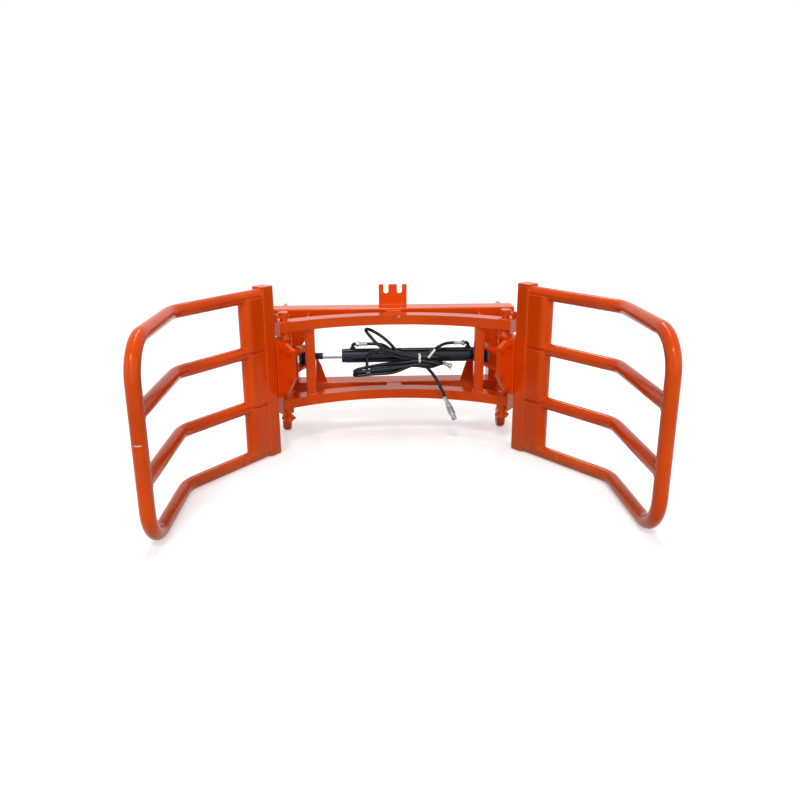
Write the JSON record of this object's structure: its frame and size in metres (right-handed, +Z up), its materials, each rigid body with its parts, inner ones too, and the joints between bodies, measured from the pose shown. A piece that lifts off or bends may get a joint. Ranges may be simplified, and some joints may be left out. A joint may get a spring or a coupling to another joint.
{
  "type": "round bale clamp",
  "caption": "Hydraulic round bale clamp for a loader: two hinged arms of bent pipe on a welded frame, worked by a cross cylinder.",
  "frame": {"origin": "middle of the footprint, on the floor", "axes": "+X to the right seen from the bale side, +Y towards the loader, +Z up"},
  "size_m": [2.0102, 1.6608, 0.861],
  "materials": {
    "red_paint": "gloss",
    "painted_bolts": "gloss",
    "black_paint": "satin",
    "chrome_rod": "polished",
    "zinc_steel": "satin",
    "bush_steel": "satin",
    "hose_rubber": "satin",
    "white_nylon": "matte"
  },
  "bodies": {
    "frame": {"rear_rails": "red_paint", "rear_uprights": "red_paint", "front_top_beam": "red_paint", "front_bottom_beam": "red_paint", "beam_end_plates": "red_paint", "hinge_bosses": "red_paint", "thrust_washers": "bush_steel", "hinge_pins": "red_paint", "pin_retainers": "red_paint", "frame_bolts": "painted_bolts", "beam_bolt": "zinc_steel", "front_posts": "red_paint", "frame_ties": "red_paint", "rail_gussets": "red_paint", "centre_spacers": "red_paint", "hitch_bracket_right": "red_paint", "hitch_bracket_left": "red_paint", "lock_bore_doublers": "red_paint", "coupling_holder": "red_paint"},
    "right_arm": {"right_arm_post": "red_paint", "right_arm_hoop": "red_paint", "right_upper_arm_pipe": "red_paint", "right_lower_arm_pipe": "red_paint", "right_stiffener_shells": "red_paint", "right_post_flange": "red_paint", "right_hub_flange": "red_paint", "right_flange_bolts": "painted_bolts", "right_hub": "red_paint", "right_hub_bushes": "bush_steel", "right_hub_webs": "red_paint", "right_lever_plates": "red_paint", "right_cylinder_pin": "zinc_steel"},
    "left_arm": {"left_arm_post": "red_paint", "left_arm_hoop": "red_paint", "left_upper_arm_pipe": "red_paint", "left_lower_arm_pipe": "red_paint", "left_stiffener_shells": "red_paint", "left_post_flange": "red_paint", "left_hub_flange": "red_paint", "left_flange_bolts": "painted_bolts", "left_hub": "red_paint", "left_hub_bushes": "bush_steel", "left_hub_webs": "red_paint", "left_lever_plates": "red_paint", "left_cylinder_pin": "zinc_steel"},
    "barrel": {"cylinder_barrel": "black_paint", "cylinder_base_eye": "black_paint", "cylinder_gland": "black_paint", "port_elbows": "black_paint", "port_fittings": "zinc_steel", "rod_side_hose": "hose_rubber", "base_side_hose": "hose_rubber", "hose_loop": "hose_rubber", "hose_curl": "hose_rubber", "hose_tail": "hose_rubber", "hose_hank": "hose_rubber", "hose_couplings": "zinc_steel", "cable_ties": "white_nylon"},
    "rod": {"cylinder_rod": "chrome_rod", "cylinder_rod_eye": "black_paint"}
  },
  "joints": [
    {"name": "left_arm_hinge", "type": "hinge", "parent": "frame", "child": "left_arm", "pos_m": [-0.56, 0.34542, 0.437], "axis": [0, 0, 1], "range_deg": [-3, 38]},
    {"name": "right_arm_hinge", "type": "hinge", "parent": "frame", "child": "right_arm", "pos_m": [0.56, 0.34542, 0.437], "axis": [0, 0, 1], "range_deg": [-38, 3]},
    {"name": "barrel_pivot", "type": "hinge", "parent": "right_arm", "child": "barrel", "pos_m": [0.48, 0.51642, 0.437], "axis": [0, 0, 1], "range_deg": [-3, 38]},
    {"name": "rod_slide", "type": "slide", "parent": "barrel", "child": "rod", "axis": [-1, 0, 0], "range_m": [-0.01924, 0.24258]}
  ],
  "couplings": [
    {"joint": "right_arm_hinge", "follows": "left_arm_hinge", "ratio": -1},
    {"joint": "barrel_pivot", "follows": "left_arm_hinge", "ratio": 1},
    {"joint": "rod_slide", "follows": "left_arm_hinge", "m_per_rad": 0.3656}
  ]
}
